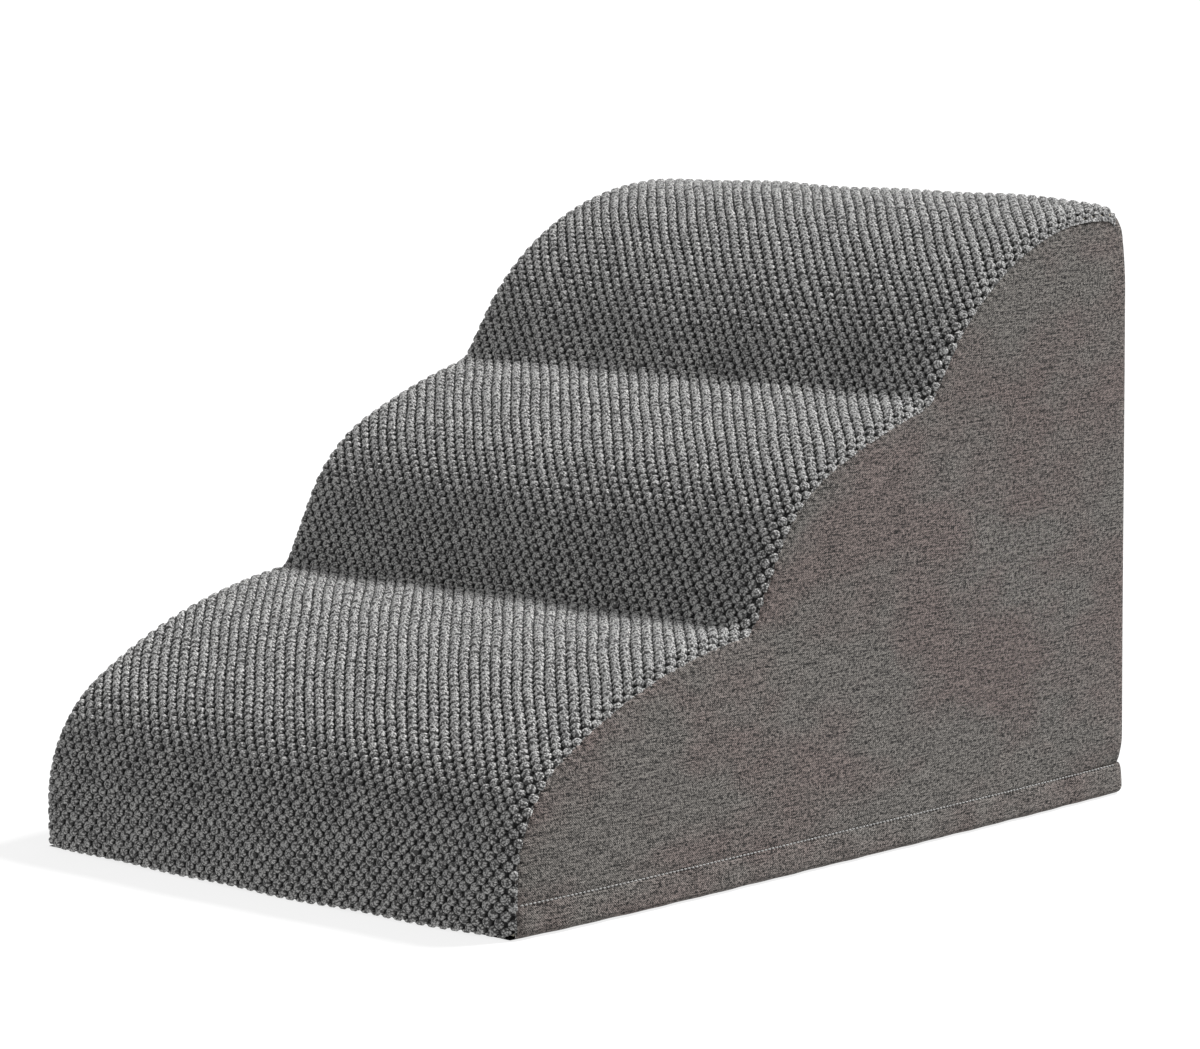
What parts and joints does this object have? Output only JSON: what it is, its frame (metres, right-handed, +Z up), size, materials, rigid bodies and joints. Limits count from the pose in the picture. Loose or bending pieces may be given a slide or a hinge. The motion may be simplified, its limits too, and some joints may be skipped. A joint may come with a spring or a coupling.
{
  "type": "dog ramp",
  "caption": "Stuffed foam dog ramp with wave-shaped treads, a bubble-knit top, woven side panels and a zip across the back.",
  "frame": {"origin": "on the floor, in the middle of the ramp's footprint", "axes": "+X across the ramp, +Y the way the dog climbs (low front at -Y, upright back at +Y), +Z up"},
  "size_m": [0.42, 0.604, 0.4],
  "materials": {
    "foam": "open-cell cut foam",
    "knit": "bubble-knit fleece",
    "woven": "flecked linen-look weave",
    "thread": "sewing thread",
    "base_cloth": "black non-slip base cloth",
    "grip": "moulded soft PVC",
    "zip_tape": "woven zip tape",
    "zip_coil": "nylon coil",
    "zip_metal": "dark plated die-cast metal",
    "label": "satin label tape"
  },
  "bodies": {
    "ramp": {"foam_block_lower": "foam", "foam_block_middle": "foam", "foam_block_upper": "foam", "tread_panel": "knit", "side_panel_right": "woven", "side_panel_left": "woven", "back_panel_upper": "woven", "back_panel_lower": "woven", "hem_band_right": "woven", "hem_band_left": "woven", "hem_band_back": "woven", "edge_seam_thread_right": "thread", "edge_seam_thread_left": "thread", "hem_seam_thread_right": "thread", "hem_seam_thread_left": "thread", "hem_seam_thread_back": "thread", "base_panel": "base_cloth", "grip_dots": "grip", "corner_grip_dots": "grip", "zip_tape_upper": "zip_tape", "zip_tape_lower": "zip_tape", "zip_coil_upper": "zip_coil", "zip_coil_lower": "zip_coil", "zip_stops": "zip_metal", "care_label": "label"},
    "slider": {"zip_slider": "zip_metal"},
    "pull_tab": {"zip_pull_tab": "zip_metal"}
  },
  "joints": [
    {"name": "zip_slide", "type": "slide", "parent": "ramp", "child": "slider", "axis": [-1, 0, 0], "range_m": [0, 0.34]},
    {"name": "pull_tab_swing", "type": "hinge", "parent": "slider", "child": "pull_tab", "pos_m": [0.17, 0.29995, 0.045], "axis": [0, 0, -1], "range_deg": [0, 180]}
  ]
}
